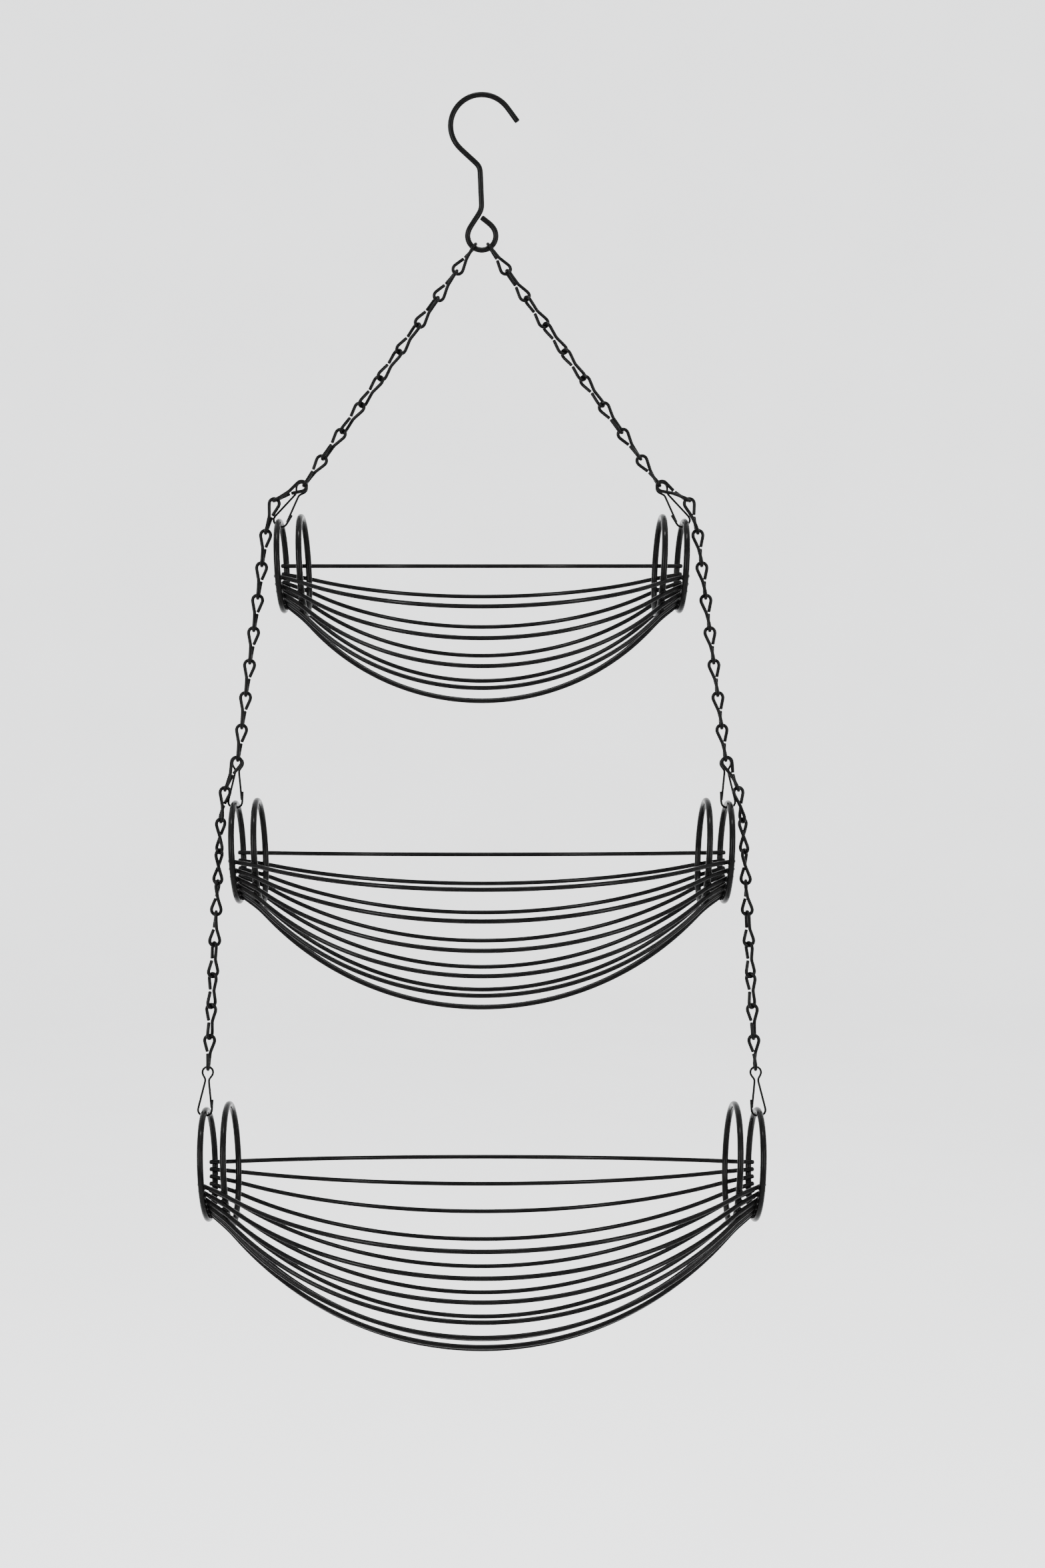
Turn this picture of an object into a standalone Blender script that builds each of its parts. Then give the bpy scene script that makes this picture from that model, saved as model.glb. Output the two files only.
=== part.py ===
"""Three-tier hanging wire produce basket: a hook, two jack chains, wire clips and bowed-wire baskets.

Metres, +Z up, +X to the right and +Y to the back. The origin is the inner top of the hook's bend, where
the basket hangs. Everything is round steel wire, so every piece is a sweep of one round section.
"""

import math
from dataclasses import dataclass

import bmesh
import bpy
from mathutils import Matrix, Vector

GAP = 0.0003
Y_AXIS = Vector((0, 1, 0))
SIDES = {"left": -1, "right": 1}

# Wire diameters
HOOK_WIRE = 0.0036
CHAIN_WIRE = 0.0022
CLIP_WIRE = 0.0014
RING_WIRE = 0.0040
BASKET_WIRE = 0.0028

# Hook and eye, in the XZ plane
HOOK_BEND = 0.0200
HOOK_TIP = Vector((0.0229, 0, -0.0157))
HOOK_NECK = Vector((-0.0011, 0, -0.0443))
SHANK_END = Vector((0, 0, -0.0716))
EYE_CENTRE = Vector((0, 0, -0.0885))
EYE_BEND = 0.00925
EYE_END_ANGLE = 412
EYE_STUB = 0.0075

# Chain: half the loop's width and half the waist's width, both to the wire's centre. The loop is widest
# LOOP_SHOULDER from its end and tapers from LOOP_TAPER, and TWIST_SPAN is the share of a link that twists.
LOOP_HALF = 0.00325
WAIST_HALF = 0.00125
LOOP_SHOULDER = 0.0022
LOOP_TAPER = 0.0068
TWIST_SPAN = 0.55
CHAIN_ANGLE = 36
TOP_JUNCTION = Vector((0.1130, 0, -0.2470))
MIDDLE_JUNCTION = Vector((0.1555, 0, -0.4220))
LOWER_JUNCTION = Vector((0.1745, 0, -0.6190))
UPPER_TWIST = 90
LOWER_TWIST = 180
JOINED_OVERLAP = 0.0004
JUNCTION_EASE = 0.0004
LINK_IN_JUNCTION = -0.00075
CLIP_IN_JUNCTION = 0.00110

# Faces round each wire
HOOK_FACES = 8
RING_FACES = 6
BASKET_FACES = 6
CHAIN_FACES = 4
CLIP_FACES = 4

# Clip: width of its round loop, of its neck and of its foot, to the wire's centre
CLIP_LOOP = 0.0070
CLIP_NECK = 0.0020
CLIP_NECK_DROP = 0.0082
CLIP_FOOT = 0.0090
CLIP_FOOT_BEND = 0.0034
LATCH_HEIGHT = 0.0072
LATCH_LEAN = 0.0002
INNER_LEG_LIFT = 0.0015
CLIP_SLANT = 1.6

# Baskets
RING_LEAN = math.tan(math.radians(3.2))
RIM_SPREAD = 0.82
RING_STANDOFF = 0.0052
WIRE_OVERHANG = 0.0026
WELD_BEAD = 0.0017
WELD_OUT = 0.0021
WELD_ALONG = 0.0018


@dataclass
class Tier:
    """One basket: its ring planes, the outer rings' radius, and the bow of its wires.

    clip_depth is how far back its clips pass through the junction links, and tip is how far, in degrees,
    the basket hangs turned forward about its own axis.
    """

    name: str
    axis_z: float
    outer_x: float
    inner_x: float
    outer_radius: float
    shoulder: float
    belly: float
    wires: int
    rim_drop: float
    tip: float
    junction: Vector
    clip_depth: float

    @property
    def inner_radius(self):
        return self.shoulder - RING_STANDOFF

    @property
    def ring_top(self):
        """Centre of the outer ring's wire at its top."""
        lean = RING_LEAN * self.outer_radius * math.cos(math.radians(self.tip))
        return Vector((self.outer_x + lean, 0, self.axis_z + self.outer_radius))

    @property
    def clip_foot(self):
        """Centre of the clip's lowest wire, which passes under the outer ring's top."""
        downward = (self.ring_top - self.junction).normalized()
        foot = self.ring_top + downward * ((RING_WIRE + CLIP_WIRE) / 2 + GAP)
        return foot + Y_AXIS * self.clip_depth * CLIP_SLANT

    @property
    def clip_top(self):
        """Centre of the clip's highest wire, which rests in the junction link."""
        return self.junction + Vector((0, self.clip_depth, CLIP_WIRE / 2 + GAP))

    @property
    def tip_pivot(self):
        """Point on the axis that the basket tips about: the underside of the rings' tops, over the clips' feet."""
        downward = (self.ring_top - self.junction).normalized()
        height = (self.ring_top + downward * RING_WIRE / 2).z
        return Vector((0, self.clip_depth * CLIP_SLANT, height))

    def around(self, x, radius, angle):
        """Point at a radius from the basket's axis. Angle 0 is the front and 90 the bottom, before the tip."""
        turned = math.radians(angle + self.tip)
        return Vector((x, -radius * math.cos(turned), self.axis_z - radius * math.sin(turned)))


TIERS = (
    Tier(
        name="top",
        axis_z=-0.2990,
        outer_x=0.1275,
        inner_x=0.1134,
        outer_radius=0.0285,
        shoulder=0.0365,
        belly=0.0875,
        wires=11,
        rim_drop=8,
        tip=10,
        junction=TOP_JUNCTION,
        clip_depth=CLIP_IN_JUNCTION,
    ),
    Tier(
        name="middle",
        axis_z=-0.4813,
        outer_x=0.1558,
        inner_x=0.1416,
        outer_radius=0.0308,
        shoulder=0.0378,
        belly=0.0988,
        wires=13,
        rim_drop=7,
        tip=0,
        junction=MIDDLE_JUNCTION,
        clip_depth=CLIP_IN_JUNCTION,
    ),
    Tier(
        name="lower",
        axis_z=-0.6803,
        outer_x=0.1748,
        inner_x=0.1600,
        outer_radius=0.0335,
        shoulder=0.0425,
        belly=0.1117,
        wires=15,
        rim_drop=12,
        tip=0,
        junction=LOWER_JUNCTION,
        clip_depth=0,
    ),
)


# Sweeps


def tangents(points, closed):
    """Unit direction of the path at each point."""
    last = len(points) - 1
    found = []
    for i in range(len(points)):
        before = points[i - 1] if i > 0 or closed else points[0]
        after = points[(i + 1) % len(points)] if i < last or closed else points[last]
        found.append((after - before).normalized())
    return found


def sweep(points, normals, diameter, sides, closed=False):
    """Mesh of a round wire along points. normals holds a direction across the wire at each point."""
    mesh = bmesh.new()
    sections = []
    for point, along, normal in zip(points, tangents(points, closed), normals):
        across = (normal - along * normal.dot(along)).normalized()
        upward = along.cross(across)
        section = []
        for side in range(sides):
            angle = math.tau * side / sides
            offset = across * math.cos(angle) + upward * math.sin(angle)
            section.append(mesh.verts.new(point + offset * diameter / 2))
        sections.append(section)
    pairs = list(zip(sections, sections[1:]))
    if closed:
        pairs.append((sections[-1], sections[0]))
    for first, second in pairs:
        for side in range(sides):
            following = (side + 1) % sides
            mesh.faces.new((first[side], first[following], second[following], second[side]))
    if not closed:
        mesh.faces.new(tuple(reversed(sections[0])))
        mesh.faces.new(tuple(sections[-1]))
    bmesh.ops.recalc_face_normals(mesh, faces=mesh.faces)
    return mesh


def arc(centre, radius, start, end, steps):
    """Points round a centre in the XZ plane, in degrees anticlockwise seen from the front."""
    found = []
    for i in range(steps + 1):
        angle = math.radians(start + (end - start) * i / steps)
        found.append(centre + Vector((radius * math.cos(angle), 0, radius * math.sin(angle))))
    return found


def tangent_angle(centre, radius, point, turn):
    """Angle at which a straight wire from the point touches the circle; turn picks the side."""
    reach = point - centre
    return math.degrees(math.atan2(reach.z, reach.x) + turn * math.acos(radius / reach.length))


# Objects and materials


def coated_steel(name, roughness):
    material = bpy.data.materials.new(name)
    material.use_nodes = True
    shader = material.node_tree.nodes["Principled BSDF"]
    shader.inputs["Base Color"].default_value = (0.006, 0.006, 0.007, 1)
    shader.inputs["Roughness"].default_value = roughness
    shader.inputs["Metallic"].default_value = 0.0
    return material


def add_object(name, mesh, material, origin=None):
    """Object from a bmesh in world coordinates, with its origin moved to the given point."""
    place = origin or Vector((0, 0, 0))
    bmesh.ops.translate(mesh, verts=mesh.verts, vec=-place)
    data = bpy.data.meshes.new(name)
    mesh.to_mesh(data)
    mesh.free()
    data.shade_smooth()
    data.set_sharp_from_angle(angle=math.radians(70))
    data.materials.append(material)
    obj = bpy.data.objects.new(name, data)
    obj.location = place
    bpy.context.scene.collection.objects.link(obj)
    return obj


def join_pieces(base, pieces):
    """Union of the base with each piece, which stays as a hidden helper."""
    for piece in pieces:
        piece.hide_render = True
        piece.display_type = "WIRE"
        union = base.modifiers.new(piece.name, "BOOLEAN")
        union.operation = "UNION"
        union.object = piece
    return base


# Hook


def hook_path():
    """Centre line from the tip over the bend, down the shank and round the eye."""
    bend = Vector((0, 0, HOOK_WIRE / 2 - HOOK_BEND))
    first = tangent_angle(bend, HOOK_BEND, HOOK_TIP, 1)
    last = tangent_angle(bend, HOOK_BEND, HOOK_NECK, -1) + 360
    eye = tangent_angle(EYE_CENTRE, EYE_BEND, SHANK_END, 1)
    path = [HOOK_TIP]
    path += arc(bend, HOOK_BEND, first, last, 18)
    path += [HOOK_NECK, SHANK_END]
    path += arc(EYE_CENTRE, EYE_BEND, eye, EYE_END_ANGLE, 18)
    ahead = (path[-1] - EYE_CENTRE).cross(Y_AXIS).normalized()
    path.append(path[-1] + ahead * EYE_STUB)
    return path


def build_hook():
    path = hook_path()
    mesh = sweep(path, [Y_AXIS] * len(path), HOOK_WIRE, HOOK_FACES)
    return add_object("hook", mesh, coated_steel("hook_coat", 0.22))


# Chain


def link_outline(length):
    """Half widths and heights of one wire of a link, from its top bend to its bottom bend."""
    half = length / 2
    upper = (
        (0.65 * LOOP_HALF, half),
        (LOOP_HALF, half - LOOP_SHOULDER),
        (0.72 * LOOP_HALF, half - LOOP_TAPER),
    )
    lower = [(width, -height) for width, height in reversed(upper)]
    return [*upper, (WAIST_HALF, 0), *lower]


def link_mesh(top, bottom, turn, top_ease, bottom_ease):
    """A link of one figure-eight wire, whose lower loop is turned a quarter from its upper loop.

    top and bottom are the points where it touches its neighbours, turn is the upper loop's angle about
    the link's length, and an ease lengthens the link beyond a contact, or shortens it.
    """
    upward = (top - bottom).normalized()
    top_bend = top + upward * (CHAIN_WIRE / 2 + top_ease)
    bottom_bend = bottom - upward * (CHAIN_WIRE / 2 + bottom_ease)
    centre = (top_bend + bottom_bend) / 2
    length = (top_bend - bottom_bend).length
    backward = Y_AXIS
    sideways = backward.cross(upward)
    points = []
    normals = []
    outline = link_outline(length)
    for strand, run in ((1, outline), (-1, outline[::-1])):
        for width, height in run:
            quarter = min(max(0.5 - height / (TWIST_SPAN * length), 0), 1)
            angle = math.radians(turn + 90 * quarter)
            outward = sideways * math.cos(angle) + backward * math.sin(angle)
            flat = backward * math.cos(angle) - sideways * math.sin(angle)
            points.append(centre + outward * width * strand + upward * height)
            normals.append(flat)
    return sweep(points, normals, CHAIN_WIRE, CHAIN_FACES, closed=True)


def stepped(start, end, count):
    """Contact points of a straight stretch of links, without its first."""
    return [start.lerp(end, (i + 1) / count) for i in range(count)]


def mirrored(point, side):
    return Vector((point.x * side, point.y, point.z))


def eye_contact():
    """Where the top link bears on the inside of the eye, at the chain's own angle."""
    inside = EYE_BEND - HOOK_WIRE / 2
    angle = math.radians(CHAIN_ANGLE)
    return EYE_CENTRE + Vector((inside * math.sin(angle), 0, -inside * math.cos(angle)))


def chain_runs():
    """Contact points of the three runs of the right-hand chain, from the eye to the lower basket's clip."""
    eye = eye_contact()
    upper = [eye, *stepped(eye, TOP_JUNCTION, 9)]
    past_top = (Vector((0.1316, -0.0018, -0.2572)), Vector((0.1374, -0.0020, -0.2773)))
    middle = [TOP_JUNCTION, *past_top, *stepped(past_top[1], MIDDLE_JUNCTION, 7)]
    past_middle = (Vector((0.1632, -0.0018, -0.4410)), Vector((0.1662, -0.0020, -0.4610)))
    lower = [MIDDLE_JUNCTION, *past_middle, *stepped(past_middle[1], LOWER_JUNCTION, 8)]
    return {"upper": upper, "middle": middle, "lower": lower}


def build_run(name, contacts, turns, material):
    """Links joined at their contacts, with a clear gap to the neighbours at both ends."""
    links = []
    last = len(contacts) - 2
    for i in range(len(contacts) - 1):
        top_ease = JUNCTION_EASE if i == 0 else -JOINED_OVERLAP / 2
        bottom_ease = JUNCTION_EASE if i == last else -JOINED_OVERLAP / 2
        mesh = link_mesh(contacts[i], contacts[i + 1], turns[i], top_ease, bottom_ease)
        link_name = name if i == 0 else f"{name}_link_{i + 1}"
        links.append(add_object(link_name, mesh, material, contacts[0]))
    return join_pieces(links[0], links[1:])


def build_chains():
    material = coated_steel("chain_coat", 0.28)
    turned = {"upper": (UPPER_TWIST, UPPER_TWIST), "middle": (0, 0), "lower": (0, LOWER_TWIST)}
    for run, contacts in chain_runs().items():
        count = len(contacts) - 1
        start, spread = turned[run]
        turns = [start + spread * i / (count - 1) for i in range(count)]
        for side, sign in SIDES.items():
            points = [mirrored(point, sign) for point in contacts]
            if run == "upper":
                build_run(f"top_link_{side}", points[:2], turns[:1], material)
                build_run(f"upper_chain_{side}", points[1:], turns[1:], material)
            else:
                points[0].y = LINK_IN_JUNCTION
                build_run(f"{run}_chain_{side}", points, turns, material)


# Clips


def clip_path(length, side):
    """Centre line of a clip hanging from the origin, from its latch stub round to the end of its leg.

    side is +1 or -1, the side of the clip's long outer leg.
    """
    loop = CLIP_LOOP / 2
    foot = CLIP_FOOT / 2
    loop_centre = Vector((0, 0, -loop))
    corner = Vector((foot - CLIP_FOOT_BEND, 0, -length + CLIP_FOOT_BEND))
    other_corner = Vector((-corner.x, 0, corner.z))
    stub_top = Vector((-foot + LATCH_LEAN, 0, -length + LATCH_HEIGHT + CLIP_FOOT_BEND))
    path = [stub_top]
    path += arc(other_corner, CLIP_FOOT_BEND, 180, 270, 3)
    path += arc(corner, CLIP_FOOT_BEND, 270, 360, 3)
    path.append(Vector((CLIP_NECK / 2, 0, -CLIP_NECK_DROP)))
    path += arc(loop_centre, loop, -40, 220, 10)
    path.append(Vector((-CLIP_NECK / 2, 0, -CLIP_NECK_DROP)))
    path.append(Vector((-foot + CLIP_WIRE + GAP, 0, -length + CLIP_FOOT_BEND + INNER_LEG_LIFT)))
    return [Vector((point.x * side, 0, point.z)) for point in path]


def build_clip(tier, side, material):
    """Clip from the chain's junction link to the outer ring's top, leaning as the line between them."""
    sign = SIDES[side]
    top = mirrored(tier.clip_top, sign)
    downward = mirrored(tier.clip_foot, sign) - top
    path = clip_path(downward.length, sign)
    mesh = sweep(path, [Y_AXIS] * len(path), CLIP_WIRE, CLIP_FACES)
    lean = Vector((0, 0, -1)).rotation_difference(downward.normalized())
    bmesh.ops.transform(mesh, matrix=Matrix.Translation(top) @ lean.to_matrix().to_4x4(), verts=mesh.verts)
    pivot = mirrored(tier.junction, sign) + Y_AXIS * tier.clip_depth
    add_object(f"{tier.name}_clip_{side}", mesh, material, pivot)


# Baskets


def ring_mesh(tier, radius, x, sign):
    """An end ring, leaning so that its bottom is nearer the middle."""
    path = []
    for i in range(20):
        angle = 360 * i / 20
        leaning = x - RING_LEAN * radius * math.sin(math.radians(angle))
        path.append(tier.around(sign * leaning, radius, angle))
    normal = Vector((1, 0, -RING_LEAN * sign)).normalized()
    return sweep(path, [normal] * len(path), RING_WIRE, RING_FACES, closed=True)


def wire_angles(tier):
    """Angles round the basket's axis, 0 at the front and 90 at the bottom, closer together at the rims."""
    half = (tier.wires - 1) / 2
    reach = 90 - tier.rim_drop
    angles = []
    for i in range(tier.wires):
        share = (i - half) / half
        angles.append(90 + math.copysign(abs(share) ** RIM_SPREAD, share) * reach)
    return angles


def bow_radius(tier, x, inner_x, outer_x):
    """Distance of a wire from the basket's axis: a round bow, then straight between its two rings."""
    if abs(x) > inner_x:
        slope = (tier.shoulder - tier.outer_radius + RING_STANDOFF) / (outer_x - inner_x)
        return tier.shoulder - (abs(x) - inner_x) * slope
    rise = tier.belly - tier.shoulder
    bow = (inner_x**2 + rise**2) / (2 * rise)
    return tier.belly - bow + math.sqrt(bow**2 - x**2)


def wire_mesh(tier, angle):
    """A bowed wire in the plane through the basket's axis at the given angle."""
    down = math.sin(math.radians(angle))
    inner_x = tier.inner_x - RING_LEAN * tier.inner_radius * down
    outer_x = tier.outer_x - RING_LEAN * tier.outer_radius * down
    end = outer_x + WIRE_OVERHANG
    bow = [inner_x * share / 4 for share in range(-4, 5)]
    points = [tier.around(x, bow_radius(tier, x, inner_x, outer_x), angle) for x in [-end, *bow, end]]
    normal = tier.around(0, 1, angle + 90) - tier.around(0, 0, 0)
    return sweep(points, [normal] * len(points), BASKET_WIRE, BASKET_FACES)


def weld_bead(tier, angle, sign):
    """Bead of weld metal between the inner ring and a wire that passes outside it."""
    x = tier.inner_x - RING_LEAN * tier.inner_radius * math.sin(math.radians(angle)) + WELD_ALONG
    centre = tier.around(sign * x, tier.inner_radius + WELD_OUT, angle)
    mesh = bmesh.new()
    bmesh.ops.create_icosphere(mesh, subdivisions=1, radius=WELD_BEAD, matrix=Matrix.Translation(centre))
    return mesh


def build_rim_frame(tier, wire_coat):
    """Both inner rings welded to the front and back rim wires: the basket's first sub-assembly."""
    angles = wire_angles(tier)
    frame = add_object(f"{tier.name}_rim_frame", wire_mesh(tier, angles[0]), wire_coat, tier.tip_pivot)
    back = add_object(f"{tier.name}_back_rim_wire", wire_mesh(tier, angles[-1]), wire_coat, tier.tip_pivot)
    beads = []
    rings = []
    for side, sign in SIDES.items():
        for edge, angle in (("front", angles[0]), ("back", angles[-1])):
            bead = weld_bead(tier, angle, sign)
            beads.append(add_object(f"{tier.name}_{edge}_weld_{side}", bead, wire_coat, tier.tip_pivot))
        ring = ring_mesh(tier, tier.inner_radius, tier.inner_x, sign)
        rings.append(add_object(f"{tier.name}_inner_ring_{side}", ring, wire_coat, tier.tip_pivot))
    join_pieces(frame, [*beads, *rings, back])


def build_basket(tier, ring_coat, wire_coat):
    build_rim_frame(tier, wire_coat)
    for side, sign in SIDES.items():
        ring = ring_mesh(tier, tier.outer_radius, tier.outer_x, sign)
        add_object(f"{tier.name}_outer_ring_{side}", ring, ring_coat, tier.tip_pivot)
    for number, angle in enumerate(wire_angles(tier)[1:-1], start=1):
        add_object(f"{tier.name}_wire_{number:02d}", wire_mesh(tier, angle), wire_coat, tier.tip_pivot)


def clear_scene():
    for obj in list(bpy.data.objects):
        bpy.data.objects.remove(obj)


def main():
    clear_scene()
    build_hook()
    build_chains()
    clip_coat = coated_steel("clip_coat", 0.30)
    ring_coat = coated_steel("ring_coat", 0.20)
    wire_coat = coated_steel("wire_coat", 0.22)
    for tier in TIERS:
        for side in SIDES:
            build_clip(tier, side, clip_coat)
        build_basket(tier, ring_coat, wire_coat)


main()
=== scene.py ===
"""Looks of the three-tier hanging wire produce basket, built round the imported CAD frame.

Every CAD solid is replaced by the wire it stands for: smoothly bent, with dressed ends, welds where wires
cross, single chain links, and a gloss black coating. Metres, in the CAD's own frame.
"""

import math
from dataclasses import dataclass

import bpy
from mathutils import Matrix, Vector, noise


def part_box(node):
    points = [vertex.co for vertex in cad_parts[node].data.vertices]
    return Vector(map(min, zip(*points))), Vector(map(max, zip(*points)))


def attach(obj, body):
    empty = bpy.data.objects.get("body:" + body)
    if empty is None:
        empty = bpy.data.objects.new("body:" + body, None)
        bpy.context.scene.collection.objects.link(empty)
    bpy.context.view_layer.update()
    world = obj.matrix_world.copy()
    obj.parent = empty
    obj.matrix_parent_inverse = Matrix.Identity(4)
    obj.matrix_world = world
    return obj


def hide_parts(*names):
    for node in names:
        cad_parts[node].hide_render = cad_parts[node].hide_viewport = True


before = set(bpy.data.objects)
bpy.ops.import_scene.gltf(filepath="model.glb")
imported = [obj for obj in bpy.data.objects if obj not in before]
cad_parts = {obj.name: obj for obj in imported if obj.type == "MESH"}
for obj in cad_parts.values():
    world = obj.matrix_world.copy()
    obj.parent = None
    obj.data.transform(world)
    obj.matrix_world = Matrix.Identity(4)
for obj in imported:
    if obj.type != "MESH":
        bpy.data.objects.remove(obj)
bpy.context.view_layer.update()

Y_AXIS = Vector((0, 1, 0))
DOWN = Vector((0, 0, -1))
SIDES = {"left": -1, "right": 1}

# Wire diameters, as in the CAD
HOOK_WIRE = 0.0036
CHAIN_WIRE = 0.0022
CLIP_WIRE = 0.0014
RING_WIRE = 0.0040
BASKET_WIRE = 0.0028

# Hook and eye
HOOK_BEND = 0.0200
HOOK_TIP = Vector((0.0229, 0, -0.0157))
HOOK_NECK = Vector((-0.0011, 0, -0.0443))
SHANK_END = Vector((0, 0, -0.0716))
EYE_CENTRE = Vector((0, 0, -0.0885))
EYE_BEND = 0.00925
EYE_END_ANGLE = 412
EYE_STUB = 0.0075

# Chain
LOOP_HALF = 0.00325
CHAIN_ANGLE = 36
TOP_JUNCTION = Vector((0.1130, 0, -0.2470))
MIDDLE_JUNCTION = Vector((0.1555, 0, -0.4220))
LOWER_JUNCTION = Vector((0.1745, 0, -0.6190))
CLIP_IN_JUNCTION = 0.00110
LINK_END_GAP = 0.00035
TWIST_SPAN = 0.62

# How far forward (-Y) the first link of a run hangs in the junction link above it. The lower one hangs
# 0.45 mm further forward than its CAD solid, so that the clip beside it has room to swing.
LINK_IN_JUNCTION = {"middle": -0.00075, "lower": -0.00120}

# Clips
CLIP_LOOP = 0.0070
CLIP_NECK = 0.0020
CLIP_NECK_DROP = 0.0082
CLIP_FOOT = 0.0090
CLIP_FOOT_BEND = 0.0034
LATCH_HEIGHT = 0.0072
LATCH_LEAN = 0.0002
INNER_LEG_LEAN = 0.0006
INNER_LEG_LIFT = 0.0015
INNER_LEG_BACK = CLIP_WIRE * 0.9
CLIP_SLANT = 1.6

# Baskets
RING_LEAN = math.tan(math.radians(3.2))
RIM_SPREAD = 0.82
RING_STANDOFF = 0.0052
WELDED_STANDOFF = 0.0042
WIRE_OVERHANG = 0.0026
WIRE_RUN = 0.76
WIRE_FALL = 0.65
WELD_SIZE = (0.0036, 0.0034, 0.0022)
WELD_REACH = RING_WIRE * 0.46
WELD_SEED_STEP = 3.7

# How finely the wires are made
FINE_STEP = 0.0005
WIRE_STEP = 0.0022
COAT_WOBBLE = 0.012
HOOK_SIDES = 28
CHAIN_SIDES = 16
CLIP_SIDES = 14
RING_SIDES = 26
BASKET_SIDES = 20
RING_STEPS = 144
BOW_STEPS = 160

# Rounds of averaging that soften the corners of each kind of wire
HOOK_SOFTENING = 40
LINK_SOFTENING = 5
CLIP_SOFTENING = 7
BOW_SOFTENING = 6

# The coating. Its refractive index is set well below a real coating's, to keep the black flat.
COAT_IOR = 1.12
DARK_TONE = (0.0012, 0.0012, 0.0013)
LIGHT_TONE = (0.0030, 0.0029, 0.0028)


@dataclass
class Tier:
    """One basket's dimensions. Its rings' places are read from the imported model.

    clip_depth is how far back its clips pass through the junction links, and tip is how far, in degrees,
    the basket hangs turned forward about its own axis.
    """

    name: str
    inner_x: float
    shoulder: float
    belly: float
    wires: int
    rim_drop: float
    tip: float
    junction: Vector
    clip_depth: float

    def __post_init__(self):
        low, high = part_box(f"{self.name}_outer_ring_right")
        edge = RING_WIRE / 2 * math.cos(math.radians(30))
        self.axis_z = (low[2] + high[2]) / 2
        self.outer_x = (low[0] + high[0]) / 2
        self.outer_radius = (high[2] - low[2]) / 2 - edge
        self.inner_radius = self.shoulder - RING_STANDOFF

    @property
    def ring_top(self):
        lean = RING_LEAN * self.outer_radius * math.cos(math.radians(self.tip))
        return Vector((self.outer_x + lean, 0, self.axis_z + self.outer_radius))

    @property
    def clip_foot(self):
        """Centre of the clip's lowest wire, which bears on the underside of the ring's top."""
        downward = (self.ring_top - self.junction).normalized()
        foot = self.ring_top + downward * (RING_WIRE + CLIP_WIRE) / 2
        return foot + Y_AXIS * self.clip_depth * CLIP_SLANT

    @property
    def clip_top(self):
        return self.junction + Vector((0, self.clip_depth, CLIP_WIRE / 2))

    def around(self, x, radius, angle):
        """Point at a radius from the basket's axis; before the tip, 0 is the front and 90 the bottom."""
        turned = math.radians(angle + self.tip)
        return Vector((x, -radius * math.cos(turned), self.axis_z - radius * math.sin(turned)))

    def outward(self, angle):
        return self.around(0, 1, angle) - self.around(0, 0, 0)


TIERS = (
    Tier(
        name="top",
        inner_x=0.1134,
        shoulder=0.0365,
        belly=0.0875,
        wires=11,
        rim_drop=8,
        tip=10,
        junction=TOP_JUNCTION,
        clip_depth=CLIP_IN_JUNCTION,
    ),
    Tier(
        name="middle",
        inner_x=0.1416,
        shoulder=0.0378,
        belly=0.0988,
        wires=13,
        rim_drop=7,
        tip=0,
        junction=MIDDLE_JUNCTION,
        clip_depth=CLIP_IN_JUNCTION,
    ),
    Tier(
        name="lower",
        inner_x=0.1600,
        shoulder=0.0425,
        belly=0.1117,
        wires=15,
        rim_drop=12,
        tip=0,
        junction=LOWER_JUNCTION,
        clip_depth=0,
    ),
)


# Paths


def resampled(points, step):
    """The same polyline with points at even distances near the step."""
    lengths = [0.0]
    for before, after in zip(points, points[1:]):
        lengths.append(lengths[-1] + (after - before).length)
    count = max(8, round(lengths[-1] / step))
    found = []
    segment = 0
    for i in range(count + 1):
        reach = lengths[-1] * i / count
        while segment < len(points) - 2 and lengths[segment + 1] < reach:
            segment += 1
        span = lengths[segment + 1] - lengths[segment]
        share = (reach - lengths[segment]) / span if span else 0
        found.append(points[segment].lerp(points[segment + 1], min(share, 1)))
    return found


def softened(points, rounds):
    """Corners rounded by averaging each point with its neighbours; the ends stay."""
    for _ in range(rounds):
        inner = [
            before * 0.25 + here * 0.5 + after * 0.25
            for before, here, after in zip(points, points[1:], points[2:])
        ]
        points = [points[0], *inner, points[-1]]
    return points


def arc(centre, radius, start, end, steps):
    """Points round a centre in the XZ plane, in degrees anticlockwise seen from the front."""
    found = []
    for i in range(steps + 1):
        angle = math.radians(start + (end - start) * i / steps)
        found.append(centre + Vector((radius * math.cos(angle), 0, radius * math.sin(angle))))
    return found


def tangent_angle(centre, radius, point, turn):
    """Angle at which a straight wire from the point touches the circle; turn picks the side."""
    reach = point - centre
    return math.degrees(math.atan2(reach.z, reach.x) + turn * math.acos(radius / reach.length))


def mirrored(point, side):
    return Vector((point.x * side, point.y, point.z))


# Wire meshes


def path_frames(points, closed):
    """Direction, normal and side vector at each point, turned as little as possible from one to the next."""
    last = len(points) - 1
    normal = None
    frames = []
    for i, point in enumerate(points):
        before = points[i - 1] if i > 0 or closed else point
        after = points[(i + 1) % len(points)] if i < last or closed else point
        along = (after - before).normalized()
        if normal is None:
            normal = along.orthogonal()
        normal = (normal - along * normal.dot(along)).normalized()
        frames.append((along, normal, along.cross(normal)))
    return frames


def end_sections(point, along, radius, rounding, steps=4):
    """Centres and radii of the sections that dress a cut end, from the full wire to its face."""
    found = []
    for i in range(steps + 1):
        angle = math.pi / 2 * i / steps
        shift = rounding * (math.sin(angle) - 1)
        found.append((point + along * shift, radius - rounding * (1 - math.cos(angle))))
    return found


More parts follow.
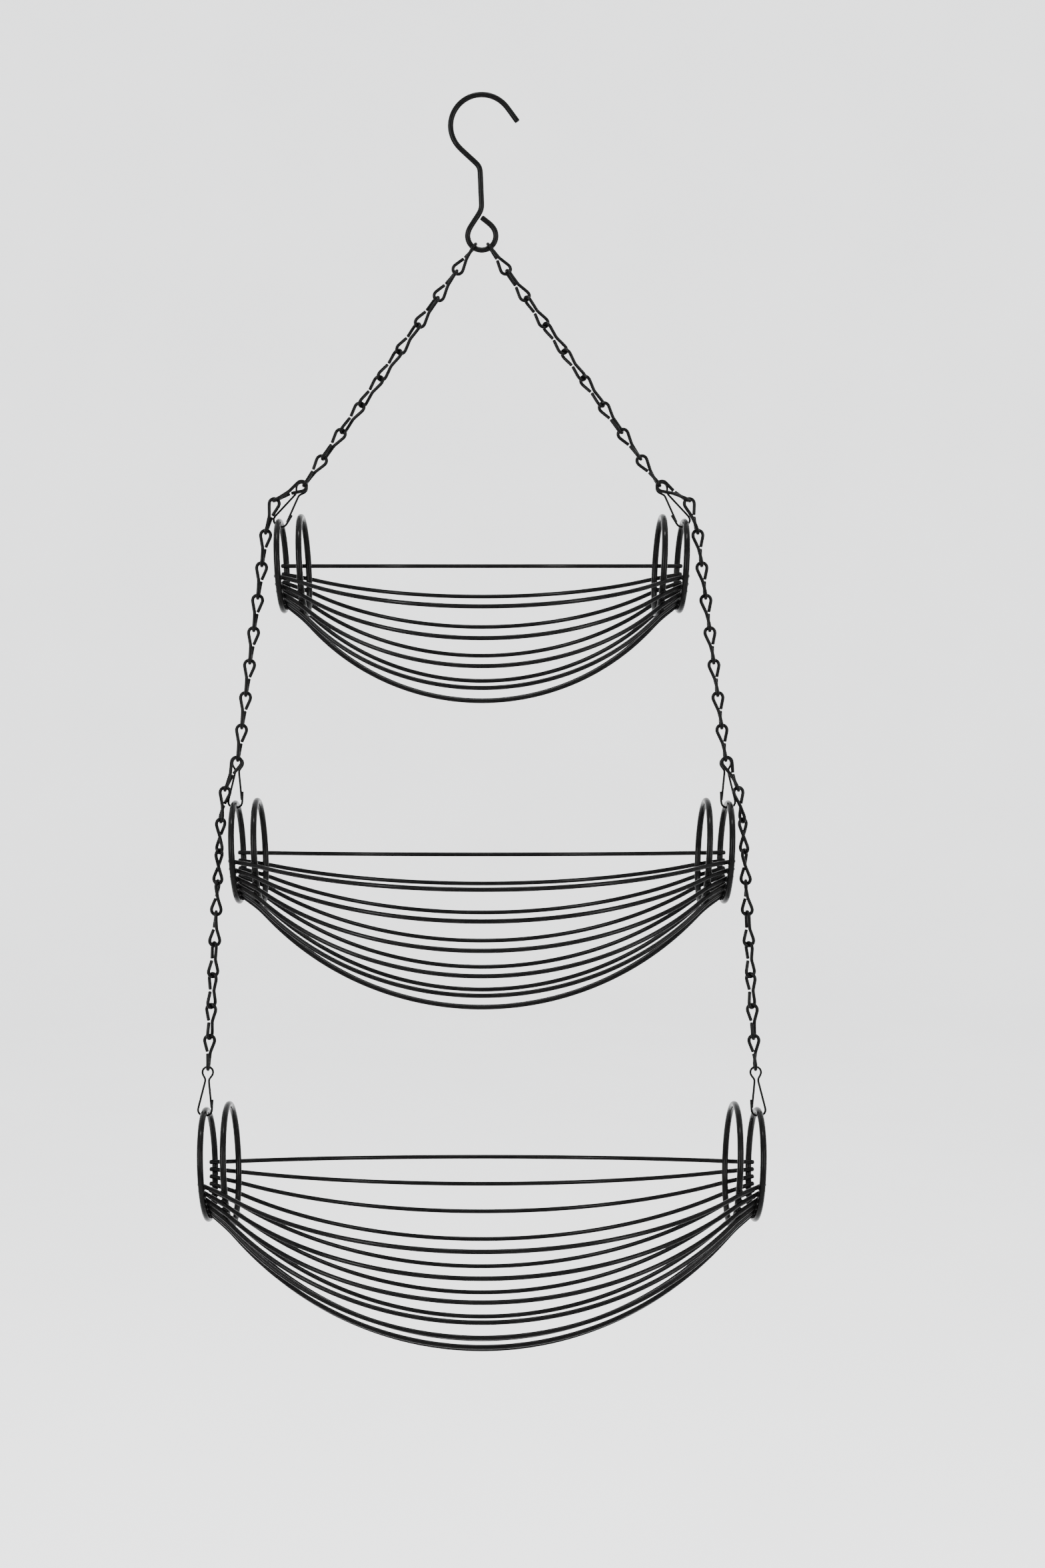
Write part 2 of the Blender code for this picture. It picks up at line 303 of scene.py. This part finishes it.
def wire_sections(points, diameter, closed, rounding):
    """(centre, normal, side, radius) of each section of the wire, with its coating's slight unevenness."""
    frames = path_frames(points, closed)
    sections = []
    for point, (_, normal, side) in zip(points, frames):
        swell = 1 + COAT_WOBBLE * noise.noise(point * 90)
        sections.append((point, normal, side, diameter / 2 * swell))
    if closed:
        return sections
    cut = rounding * diameter / 2
    first, last = frames[0], frames[-1]
    head = [
        (centre, first[1], first[2], radius)
        for centre, radius in reversed(end_sections(points[0], -first[0], diameter / 2, cut))
    ]
    tail = [
        (centre, last[1], last[2], radius)
        for centre, radius in end_sections(points[-1], last[0], diameter / 2, cut)
    ]
    inner = [section for section in sections[1:-1] if clear_of_ends(section[0], points, cut)]
    return head + inner + tail


def clear_of_ends(point, points, cut):
    return min((point - points[0]).length, (point - points[-1]).length) > cut * 1.3


def wire_geometry(points, diameter, sides, closed=False, rounding=0.55):
    """Vertices and faces of a round wire along the points."""
    sections = wire_sections(points, diameter, closed, rounding)
    vertices = []
    for centre, normal, side, radius in sections:
        for i in range(sides):
            angle = math.tau * i / sides
            vertices.append(centre + (normal * math.cos(angle) + side * math.sin(angle)) * radius)
    faces = []
    rows = len(sections)
    for row in range(rows if closed else rows - 1):
        here = row * sides
        there = (row + 1) % rows * sides
        shift = closing_shift(sections, vertices, sides) if closed and row == rows - 1 else 0
        for i in range(sides):
            j = (i + 1) % sides
            faces.append((here + i, here + j, there + (j + shift) % sides, there + (i + shift) % sides))
    if not closed:
        faces.append(tuple(reversed(range(sides))))
        faces.append(tuple(range((rows - 1) * sides, rows * sides)))
    return vertices, faces


def closing_shift(sections, vertices, sides):
    """How many places to turn the first section so that it meets the last without a twist."""
    start = (len(sections) - 1) * sides
    corner = vertices[start]
    return min(range(sides), key=lambda i: (vertices[i] - corner).length)


def bead_geometry(centre, along, across, lengths, seed):
    """A small uneven blob of weld metal, as long as the three lengths along, across and out of the wires."""
    outward = along.cross(across).normalized()
    rows, columns = 9, 14
    vertices = []
    for row in range(rows + 1):
        polar = math.pi * row / rows
        for column in range(columns):
            turn = math.tau * column / columns
            level = math.sin(polar)
            reach = Vector((level * math.cos(turn), level * math.sin(turn), math.cos(polar)))
            swell = 1 + 0.10 * noise.noise(reach * 1.7 + Vector((seed, 0, 0)))
            offset = along * reach.x * lengths[0] + across * reach.y * lengths[1]
            offset += outward * reach.z * lengths[2]
            vertices.append(centre + offset * swell / 2)
    faces = []
    for row in range(1, rows - 1):
        for column in range(columns):
            following = (column + 1) % columns
            here, there = row * columns, (row + 1) * columns
            faces.append((here + column, there + column, there + following, here + following))
    return closed_poles(vertices, faces, rows, columns)


def closed_poles(vertices, faces, rows, columns):
    """One vertex at each pole in place of a whole row, with its fan of triangles."""
    kept = [vertices[0], *vertices[columns : rows * columns], vertices[-1]]
    shift = 1 - columns
    faces = [tuple(index + shift for index in face) for face in faces]
    last = len(kept) - 1
    for column in range(columns):
        following = (column + 1) % columns
        faces.append((0, 1 + column, 1 + following))
        ring = 1 + (rows - 2) * columns
        faces.append((last, ring + following, ring + column))
    return kept, faces


def add_piece(name, shapes, material, body, replaced=()):
    """One visible piece from (vertices, faces) shapes, riding on its body."""
    vertices = []
    faces = []
    for shape_vertices, shape_faces in shapes:
        start = len(vertices)
        vertices += shape_vertices
        faces += [tuple(index + start for index in face) for face in shape_faces]
    data = bpy.data.meshes.new(name)
    data.from_pydata(vertices, [], faces)
    data.validate()
    data.shade_smooth()
    data.materials.append(material)
    piece = bpy.data.objects.new(name, data)
    bpy.context.scene.collection.objects.link(piece)
    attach(piece, body)
    if replaced:
        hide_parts(*replaced)
    return piece


# Materials


def noise_node(nodes, links, coordinates, scale, detail, roughness=0.5):
    texture = nodes.new("ShaderNodeTexNoise")
    texture.inputs["Scale"].default_value = scale
    texture.inputs["Detail"].default_value = detail
    texture.inputs["Roughness"].default_value = roughness
    links.new(coordinates.outputs["Object"], texture.inputs["Vector"])
    return texture


def ramp_node(nodes, links, source, stops):
    """Colour ramp over a noise; stops are (position, grey or colour)."""
    ramp = nodes.new("ShaderNodeValToRGB")
    elements = ramp.color_ramp.elements
    for index, (position, colour) in enumerate(stops):
        element = elements[index] if index < 2 else elements.new(position)
        element.position = position
        rgb = colour if isinstance(colour, tuple) else (colour, colour, colour)
        element.color = (*rgb, 1)
    links.new(source.outputs["Fac"], ramp.inputs["Fac"])
    return ramp


def bump_node(nodes, links, height, strength, distance, before=None):
    bump = nodes.new("ShaderNodeBump")
    bump.inputs["Strength"].default_value = strength
    bump.inputs["Distance"].default_value = distance
    links.new(height, bump.inputs["Height"])
    if before:
        links.new(before.outputs["Normal"], bump.inputs["Normal"])
    return bump


def coated_wire(name, gloss, peel, dust):
    """Gloss black coating on steel: gloss is its roughness, peel its orange peel, dust its dull specks."""
    material = bpy.data.materials.new(name)
    material.use_nodes = True
    nodes = material.node_tree.nodes
    links = material.node_tree.links
    shader = nodes["Principled BSDF"]
    coordinates = nodes.new("ShaderNodeTexCoord")
    tone = noise_node(nodes, links, coordinates, 60, 5)
    colour = ramp_node(nodes, links, tone, ((0.30, DARK_TONE), (0.72, LIGHT_TONE)))
    specks = noise_node(nodes, links, coordinates, 1900, 2)
    speck_mask = ramp_node(nodes, links, specks, ((0.66, 0.0), (0.74, 1.0)))
    mix = nodes.new("ShaderNodeMix")
    mix.data_type = "RGBA"
    mix.inputs["B"].default_value = (0.030, 0.029, 0.027, 1)
    fade = nodes.new("ShaderNodeMath")
    fade.operation = "MULTIPLY"
    fade.inputs[1].default_value = dust
    links.new(speck_mask.outputs["Color"], fade.inputs[0])
    links.new(fade.outputs["Value"], mix.inputs["Factor"])
    links.new(colour.outputs["Color"], mix.inputs["A"])
    links.new(mix.outputs["Result"], shader.inputs["Base Color"])
    haze = noise_node(nodes, links, coordinates, 140, 6, 0.6)
    shine = ramp_node(nodes, links, haze, ((0.32, gloss * 0.75), (0.55, gloss), (0.78, gloss * 1.7)))
    links.new(shine.outputs["Color"], shader.inputs["Roughness"])
    orange = noise_node(nodes, links, coordinates, 520, 2)
    grain = noise_node(nodes, links, coordinates, 2600, 3)
    coarse = bump_node(nodes, links, orange.outputs["Fac"], peel, 0.00012)
    fine = bump_node(nodes, links, grain.outputs["Fac"], peel * 0.5, 0.00003, coarse)
    links.new(fine.outputs["Normal"], shader.inputs["Normal"])
    shader.inputs["Metallic"].default_value = 0.0
    shader.inputs["IOR"].default_value = COAT_IOR
    return material


# Hook


def hook_path():
    """Centre line from the tip over the bend, down the shank and round the eye to its stub."""
    bend = Vector((0, 0, HOOK_WIRE / 2 - HOOK_BEND))
    first = tangent_angle(bend, HOOK_BEND, HOOK_TIP, 1)
    last = tangent_angle(bend, HOOK_BEND, HOOK_NECK, -1) + 360
    eye = tangent_angle(EYE_CENTRE, EYE_BEND, SHANK_END, 1)
    path = [HOOK_TIP]
    path += arc(bend, HOOK_BEND, first, last, 60)
    path += [HOOK_NECK, SHANK_END]
    path += arc(EYE_CENTRE, EYE_BEND, eye, EYE_END_ANGLE, 60)
    ahead = (path[-1] - EYE_CENTRE).cross(Y_AXIS).normalized()
    path.append(path[-1] + ahead * EYE_STUB)
    return softened(resampled(path, FINE_STEP), HOOK_SOFTENING)


def build_hook():
    coat = coated_wire("hook_coat", 0.20, 0.35, 0.25)
    shape = wire_geometry(hook_path(), HOOK_WIRE, HOOK_SIDES, rounding=0.35)
    add_piece("hook_wire", [shape], coat, "hook", ["hook"])


# Chain


def link_strand(length):
    """(half width, height) down one strand of a link: round end, taper to the waist, and the same again."""
    half = length / 2
    bend_height = half - LOOP_HALF
    waist = CHAIN_WIRE / 2
    reach = math.hypot(waist, bend_height)
    last = math.degrees(-math.atan2(bend_height, waist) + math.acos(LOOP_HALF / reach))
    upper = []
    for i in range(13):
        angle = math.radians(90 + (last - 90) * i / 12)
        upper.append((LOOP_HALF * math.cos(angle), bend_height + LOOP_HALF * math.sin(angle)))
    lower = [(width, -height) for width, height in reversed(upper)]
    return [*upper, (waist, 0), *lower]


def link_path(top, bottom, turn):
    """A link's one wire: from its cut end at the waist round the lower loop, the upper loop and back."""
    upward = (top - bottom).normalized()
    centre = (top + bottom) / 2
    length = (top - bottom).length + CHAIN_WIRE
    sideways = Y_AXIS.cross(upward)
    backward = upward.cross(sideways)

    def placed(width, height):
        quarter = min(max(0.5 - height / (TWIST_SPAN * length), 0), 1)
        quarter = quarter * quarter * (3 - 2 * quarter)
        angle = math.radians(turn + 90 * quarter)
        return centre + (sideways * math.cos(angle) + backward * math.sin(angle)) * width + upward * height

    strand = link_strand(length)
    first = [placed(-width, height) for width, height in strand]
    second = [placed(width, height) for width, height in strand[::-1]]
    middle = len(strand) // 2
    loop = second[middle:] + first[1:] + second[1 : middle + 1]
    path = softened(resampled(loop, FINE_STEP), LINK_SOFTENING)
    trimmed = max(1, round(LINK_END_GAP / FINE_STEP))
    return path[trimmed:-trimmed]


def stepped(start, end, count):
    return [start.lerp(end, (i + 1) / count) for i in range(count)]


def chain_runs():
    """Contact points and turns of the right-hand chain's three runs, from the eye to the lowest clip."""
    inside = EYE_BEND - HOOK_WIRE / 2
    angle = math.radians(CHAIN_ANGLE)
    eye = EYE_CENTRE + Vector((inside * math.sin(angle), 0, -inside * math.cos(angle)))
    past_top = (Vector((0.1316, -0.0018, -0.2572)), Vector((0.1374, -0.0020, -0.2773)))
    past_middle = (Vector((0.1632, -0.0018, -0.4410)), Vector((0.1662, -0.0020, -0.4610)))
    upper = [eye, *stepped(eye, TOP_JUNCTION, 9)]
    middle = [TOP_JUNCTION, *past_top, *stepped(past_top[1], MIDDLE_JUNCTION, 7)]
    lower = [MIDDLE_JUNCTION, *past_middle, *stepped(past_middle[1], LOWER_JUNCTION, 8)]
    return (("upper", upper, 90, 90), ("middle", middle, 0, 0), ("lower", lower, 0, 180))


def link_body(run, index):
    """Body that a link rides on: the first of the upper run is the top link, which hangs in the eye."""
    return "top_links" if run == "upper" and index == 0 else f"{run}_chains"


def link_replaces(run, index, side):
    """CAD nodes that a link stands for: the first link of each body takes its whole run's solid."""
    if run == "upper" and index == 0:
        return [f"top_link_{side}"]
    if index == (1 if run == "upper" else 0):
        return [f"{run}_chain_{side}"]
    return []


def build_chains():
    coat = coated_wire("chain_coat", 0.26, 0.5, 0.45)
    for run, contacts, start, spread in chain_runs():
        count = len(contacts) - 1
        for side, sign in SIDES.items():
            points = [mirrored(point, sign) for point in contacts]
            for i in range(count):
                top = points[i].copy()
                if i == 0 and run in LINK_IN_JUNCTION:
                    top.y = LINK_IN_JUNCTION[run]
                body = link_body(run, i)
                replaced = link_replaces(run, i, side)
                path = link_path(top, points[i + 1], start + spread * i / (count - 1))
                shape = wire_geometry(path, CHAIN_WIRE, CHAIN_SIDES, rounding=0.5)
                add_piece(f"{run}_link_{side}_{i + 1:02d}", [shape], coat, body, replaced)


# Clips


def clip_path(length, side):
    """Centre line of a clip hanging from the origin, from its latch stub round to the end of its leg."""
    loop = CLIP_LOOP / 2
    foot = CLIP_FOOT / 2
    loop_centre = Vector((0, 0, -loop))
    corner = Vector((foot - CLIP_FOOT_BEND, 0, -length + CLIP_FOOT_BEND))
    other_corner = Vector((-corner.x, 0, corner.z))
    path = [Vector((-foot + LATCH_LEAN, 0, -length + LATCH_HEIGHT + CLIP_FOOT_BEND))]
    path += arc(other_corner, CLIP_FOOT_BEND, 180, 270, 14)
    path += arc(corner, CLIP_FOOT_BEND, 270, 360, 14)
    path.append(Vector((CLIP_NECK / 2, 0, -CLIP_NECK_DROP)))
    path += arc(loop_centre, loop, -40, 220, 40)
    path.append(Vector((-CLIP_NECK / 2, 0, -CLIP_NECK_DROP)))
    leg_end = -length + CLIP_FOOT_BEND + INNER_LEG_LIFT
    path.append(Vector((-foot + INNER_LEG_LEAN, INNER_LEG_BACK, leg_end)))
    path = [Vector((point.x * side, point.y, point.z)) for point in path]
    return softened(resampled(path, FINE_STEP), CLIP_SOFTENING)


def build_clips():
    coat = coated_wire("clip_coat", 0.28, 0.3, 0.3)
    for tier in TIERS:
        for side, sign in SIDES.items():
            top = mirrored(tier.clip_top, sign)
            downward = mirrored(tier.clip_foot, sign) - top
            lean = DOWN.rotation_difference(downward.normalized())
            path = [top + lean @ point for point in clip_path(downward.length, sign)]
            shape = wire_geometry(path, CLIP_WIRE, CLIP_SIDES, rounding=0.6)
            node = f"{tier.name}_clip_{side}"
            add_piece(f"{node}_wire", [shape], coat, f"{tier.name}_clips", [node])


# Baskets


def ring_point(tier, radius, x, sign, angle):
    """Point of an end ring's centre line, before the tip 0 at the front and 90 at the bottom."""
    leaning = x - RING_LEAN * radius * math.sin(math.radians(angle))
    return tier.around(sign * leaning, radius, angle)


def ring_shape(tier, radius, x, sign):
    points = [ring_point(tier, radius, x, sign, i * 360 / RING_STEPS) for i in range(RING_STEPS)]
    return wire_geometry(points, RING_WIRE, RING_SIDES, closed=True)


def wire_angles(tier):
    """Angles round the basket's axis, 0 at the front and 90 at the bottom, closer together at the rims."""
    half = (tier.wires - 1) / 2
    reach = 90 - tier.rim_drop
    angles = []
    for i in range(tier.wires):
        share = (i - half) / half
        angles.append(90 + math.copysign(abs(share) ** RIM_SPREAD, share) * reach)
    return angles


def bow_radius(tier, x, inner_x, outer_x):
    """Distance of a wire from the basket's axis: a round bow, then straight from ring to ring."""
    shoulder = tier.inner_radius + WELDED_STANDOFF
    if abs(x) > inner_x:
        slope = (shoulder - tier.outer_radius + WELDED_STANDOFF) / (outer_x - inner_x)
        return shoulder - (abs(x) - inner_x) * slope
    rise = tier.belly - shoulder
    bow = (inner_x**2 + rise**2) / (2 * rise)
    return tier.belly - bow + math.sqrt(bow**2 - x**2)


def bow_path(tier, angle):
    """A bowed wire's centre line, in the plane through the basket's axis at the angle."""
    down = math.sin(math.radians(angle))
    inner_x = tier.inner_x - RING_LEAN * tier.inner_radius * down
    outer_x = tier.outer_x - RING_LEAN * tier.outer_radius * down
    end = outer_x + WIRE_OVERHANG
    points = []
    for i in range(BOW_STEPS + 1):
        x = -end + 2 * end * i / BOW_STEPS
        points.append(tier.around(x, bow_radius(tier, x, inner_x, outer_x), angle))
    return softened(resampled(points, WIRE_STEP), BOW_SOFTENING)


def weld_shape(tier, radius, x, sign, angle, outward, seed):
    """Weld bead between a ring and the wire that passes outside it (outward 1) or inside it (-1)."""
    out = tier.outward(angle)
    aside = Vector((sign, 0, 0))
    along_wire = (aside * WIRE_RUN - out * WIRE_FALL).normalized()
    away = (out * WIRE_RUN + aside * WIRE_FALL).normalized() * outward
    centre = ring_point(tier, radius, x, sign, angle) + away * WELD_REACH
    return bead_geometry(centre, along_wire, out.cross(aside), WELD_SIZE, seed)


def build_basket(tier, ring_coat, wire_coat):
    body = f"{tier.name}_basket"
    angles = wire_angles(tier)
    places = (("outer", tier.outer_radius, tier.outer_x, -1), ("inner", tier.inner_radius, tier.inner_x, 1))
    for kind, radius, x, outward in places:
        for side, sign in SIDES.items():
            ring_name = f"{tier.name}_{kind}_ring_{side}"
            replaced = [ring_name] if kind == "outer" else []
            shape = ring_shape(tier, radius, x, sign)
            add_piece(f"{ring_name}_wire", [shape], ring_coat, body, replaced)
            welds = [
                weld_shape(tier, radius, x, sign, angle, outward, number * WELD_SEED_STEP)
                for number, angle in enumerate(angles)
            ]
            add_piece(f"{tier.name}_{kind}_welds_{side}", welds, ring_coat, body)
    for number, angle in enumerate(angles):
        shape = wire_geometry(bow_path(tier, angle), BASKET_WIRE, BASKET_SIDES, rounding=0.5)
        replaced = [f"{tier.name}_wire_{number:02d}"]
        name = f"{tier.name}_bow_{number:02d}"
        if number == 0:
            replaced = [f"{tier.name}_rim_frame"]
            name = f"{tier.name}_rim_wire_front"
        elif number == len(angles) - 1:
            replaced = []
            name = f"{tier.name}_rim_wire_back"
        add_piece(name, [shape], wire_coat, body, replaced)


def build_baskets():
    ring_coat = coated_wire("ring_coat", 0.18, 0.4, 0.3)
    wire_coat = coated_wire("wire_coat", 0.22, 0.35, 0.3)
    for tier in TIERS:
        build_basket(tier, ring_coat, wire_coat)


# Studio

CAMERA_DISTANCE = 1.30
CAMERA_HEIGHT = -0.345
LENS = 46.8
SHIFT = (0.026, -0.093)
FLOOR_Z = -1.15
STAGE_REACH = 4.4
STAGE_BEND = 1.3
WALL_TOP = 2.0
WALL_TURNS = 96
WORLD_STRENGTH = 2.6


def paper_material():
    material = bpy.data.materials.new("studio_paper")
    material.use_nodes = True
    nodes = material.node_tree.nodes
    links = material.node_tree.links
    shader = nodes["Principled BSDF"]
    coordinates = nodes.new("ShaderNodeTexCoord")
    tone = noise_node(nodes, links, coordinates, 3, 3)
    colour = ramp_node(nodes, links, tone, ((0.3, (0.86, 0.86, 0.86)), (0.7, (0.89, 0.89, 0.89))))
    links.new(colour.outputs["Color"], shader.inputs["Base Color"])
    shader.inputs["Roughness"].default_value = 0.9
    return material


def backdrop_profile():
    """(radius, height) from the edge of the flat floor up the bend to the top of the wall."""
    profile = [(STAGE_REACH - STAGE_BEND, FLOOR_Z)]
    for i in range(1, 17):
        angle = math.pi / 2 * i / 16
        radius = STAGE_REACH - STAGE_BEND * (1 - math.sin(angle))
        profile.append((radius, FLOOR_Z + STAGE_BEND * (1 - math.cos(angle))))
    profile.append((STAGE_REACH, WALL_TOP))
    return profile


def build_backdrop():
    """A round pale floor that curves up into a wall, so that it fills the view from any side."""
    profile = backdrop_profile()
    vertices = [Vector((0, 0, FLOOR_Z))]
    for radius, z in profile:
        for i in range(WALL_TURNS):
            angle = math.tau * i / WALL_TURNS
            vertices.append(Vector((radius * math.cos(angle), radius * math.sin(angle), z)))
    faces = [(0, 1 + i, 1 + (i + 1) % WALL_TURNS) for i in range(WALL_TURNS)]
    for row in range(len(profile) - 1):
        here = 1 + row * WALL_TURNS
        there = here + WALL_TURNS
        for i in range(WALL_TURNS):
            following = (i + 1) % WALL_TURNS
            faces.append((here + i, there + i, there + following, here + following))
    data = bpy.data.meshes.new("backdrop")
    data.from_pydata(vertices, [], faces)
    data.shade_smooth()
    data.materials.append(paper_material())
    backdrop = bpy.data.objects.new("backdrop", data)
    bpy.context.scene.collection.objects.link(backdrop)


def add_softbox(name, place, target, width, height, power):
    light = bpy.data.lights.new(name, "AREA")
    light.shape = "RECTANGLE"
    light.size = width
    light.size_y = height
    light.energy = power
    lamp = bpy.data.objects.new(name, light)
    lamp.location = place
    lamp.rotation_euler = (target - place).to_track_quat("-Z", "Y").to_euler()
    bpy.context.scene.collection.objects.link(lamp)


def build_lights():
    middle = Vector((0, 0, -0.4))
    add_softbox("softbox_left", Vector((-1.2, -1.5, 0.1)), middle, 0.26, 1.2, 60)
    add_softbox("softbox_right", Vector((1.3, -1.3, -0.1)), middle, 0.20, 1.2, 42)
    add_softbox("overhead", Vector((0, -0.4, 1.2)), middle, 0.7, 0.22, 25)
    world = bpy.data.worlds.new("studio")
    world.use_nodes = True
    background = world.node_tree.nodes["Background"]
    background.inputs["Color"].default_value = (0.98, 0.99, 1, 1)
    background.inputs["Strength"].default_value = WORLD_STRENGTH
    bpy.context.scene.world = world


def build_camera():
    camera = bpy.data.cameras.new("camera")
    camera.sensor_fit = "VERTICAL"
    camera.sensor_height = 36
    camera.lens = LENS
    camera.shift_x, camera.shift_y = SHIFT
    holder = bpy.data.objects.new("camera", camera)
    holder.location = (0, -CAMERA_DISTANCE, CAMERA_HEIGHT)
    holder.rotation_euler = (math.pi / 2, 0, 0)
    bpy.context.scene.collection.objects.link(holder)
    bpy.context.scene.camera = holder


build_camera()
build_hook()
build_chains()
build_clips()
build_baskets()
build_backdrop()
build_lights()
